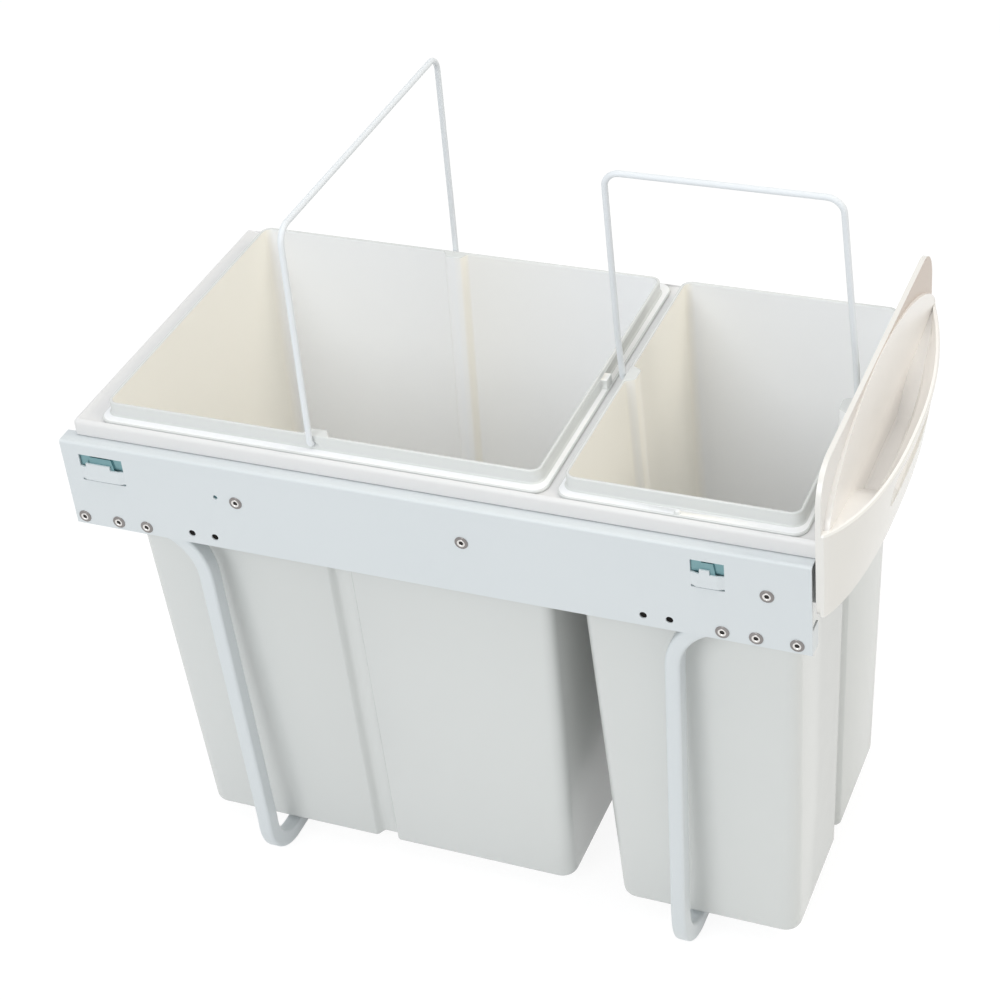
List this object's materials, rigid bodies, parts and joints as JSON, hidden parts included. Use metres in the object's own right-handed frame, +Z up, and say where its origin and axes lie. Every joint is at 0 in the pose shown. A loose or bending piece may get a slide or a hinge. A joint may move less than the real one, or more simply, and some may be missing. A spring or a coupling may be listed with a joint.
{
  "type": "pull out trash cabinet",
  "caption": "Pull-out kitchen waste unit: a large and a small lift-out bin hang in a moulded carrier with a bow handle that runs out on ball-bearing slides between steel side plates.",
  "frame": {"origin": "on the cupboard floor under the middle of the unit's bounding box, where the support tubes stand", "axes": "+Z up, -Y to the front where the handle is and the bins come out, +X to the right seen from the front"},
  "size_m": [0.2588, 0.5103, 0.5127],
  "materials": {
    "painted_steel": "satin white powder coat",
    "zinc_steel": "zinc-plated cold-rolled steel",
    "rivet_steel": "plain steel pop rivets",
    "screw_steel": "zinc-plated screws",
    "carrier_plastic": "satin white moulding",
    "bin_plastic": "smooth ivory-white moulding",
    "handle_plastic": "smooth warm white moulding",
    "coated_wire": "white plastic coat over steel wire"
  },
  "bodies": {
    "side_frame": {"side_plate_left": "painted_steel", "side_plate_right": "painted_steel", "support_bar_rear": "painted_steel", "support_bar_front": "painted_steel", "slide_outer_left": "zinc_steel", "slide_outer_right": "zinc_steel", "slide_rivet_left_1": "rivet_steel", "slide_rivet_left_2": "rivet_steel", "slide_rivet_left_3": "rivet_steel", "slide_rivet_right_1": "rivet_steel", "slide_rivet_right_2": "rivet_steel", "slide_rivet_right_3": "rivet_steel", "bar_rivet_rear_left_1": "rivet_steel", "bar_rivet_rear_left_2": "rivet_steel", "bar_rivet_rear_left_3": "rivet_steel", "bar_rivet_front_left_1": "rivet_steel", "bar_rivet_front_left_2": "rivet_steel", "bar_rivet_front_left_3": "rivet_steel", "bar_rivet_rear_right_1": "rivet_steel", "bar_rivet_rear_right_2": "rivet_steel", "bar_rivet_rear_right_3": "rivet_steel", "bar_rivet_front_right_1": "rivet_steel", "bar_rivet_front_right_2": "rivet_steel", "bar_rivet_front_right_3": "rivet_steel"},
    "carriage": {"carrier": "carrier_plastic", "handle": "handle_plastic", "slide_inner_left": "zinc_steel", "slide_inner_right": "zinc_steel", "slide_screw_left_1": "screw_steel", "slide_screw_left_2": "screw_steel", "slide_screw_left_3": "screw_steel", "slide_screw_right_1": "screw_steel", "slide_screw_right_2": "screw_steel", "slide_screw_right_3": "screw_steel", "handle_screw_left": "screw_steel", "handle_screw_right": "screw_steel"},
    "middle_left": {"slide_middle_left": "zinc_steel"},
    "middle_right": {"slide_middle_right": "zinc_steel"},
    "outer_cage_left": {"ball_cage_outer_left": "zinc_steel"},
    "outer_cage_right": {"ball_cage_outer_right": "zinc_steel"},
    "inner_cage_left": {"ball_cage_inner_left": "zinc_steel"},
    "inner_cage_right": {"ball_cage_inner_right": "zinc_steel"},
    "large_bin": {"large_bin": "bin_plastic"},
    "small_bin": {"small_bin": "bin_plastic"},
    "large_bail": {"large_bail": "coated_wire"},
    "small_bail": {"small_bail": "coated_wire"}
  },
  "joints": [
    {"name": "carriage_slide", "type": "slide", "parent": "side_frame", "child": "carriage", "axis": [0, -1, 0], "range_m": [0, 0.45]},
    {"name": "middle_slide_left", "type": "slide", "parent": "side_frame", "child": "middle_left", "axis": [0, -1, 0], "range_m": [0, 0.225]},
    {"name": "outer_cage_slide_left", "type": "slide", "parent": "side_frame", "child": "outer_cage_left", "axis": [0, -1, 0], "range_m": [0, 0.1125]},
    {"name": "inner_cage_slide_left", "type": "slide", "parent": "side_frame", "child": "inner_cage_left", "axis": [0, -1, 0], "range_m": [0, 0.3375]},
    {"name": "middle_slide_right", "type": "slide", "parent": "side_frame", "child": "middle_right", "axis": [0, -1, 0], "range_m": [0, 0.225]},
    {"name": "outer_cage_slide_right", "type": "slide", "parent": "side_frame", "child": "outer_cage_right", "axis": [0, -1, 0], "range_m": [0, 0.1125]},
    {"name": "inner_cage_slide_right", "type": "slide", "parent": "side_frame", "child": "inner_cage_right", "axis": [0, -1, 0], "range_m": [0, 0.3375]},
    {"name": "large_bin_lift", "type": "slide", "parent": "carriage", "child": "large_bin", "axis": [0, 0, 1], "range_m": [0, 0.4]},
    {"name": "small_bin_lift", "type": "slide", "parent": "carriage", "child": "small_bin", "axis": [0, 0, 1], "range_m": [0, 0.4]},
    {"name": "large_bail_pivot", "type": "hinge", "parent": "large_bin", "child": "large_bail", "pos_m": [0, 0.087, 0.3596], "axis": [1, 0, 0], "range_deg": [-80, 80]},
    {"name": "small_bail_pivot", "type": "hinge", "parent": "small_bin", "child": "small_bail", "pos_m": [0, -0.1427, 0.3596], "axis": [0, 1, 0], "range_deg": [-73, 86]}
  ],
  "couplings": [
    {"joint": "middle_slide_left", "follows": "carriage_slide", "ratio": 0.5},
    {"joint": "outer_cage_slide_left", "follows": "carriage_slide", "ratio": 0.25},
    {"joint": "inner_cage_slide_left", "follows": "carriage_slide", "ratio": 0.75},
    {"joint": "middle_slide_right", "follows": "carriage_slide", "ratio": 0.5},
    {"joint": "outer_cage_slide_right", "follows": "carriage_slide", "ratio": 0.25},
    {"joint": "inner_cage_slide_right", "follows": "carriage_slide", "ratio": 0.75}
  ]
}
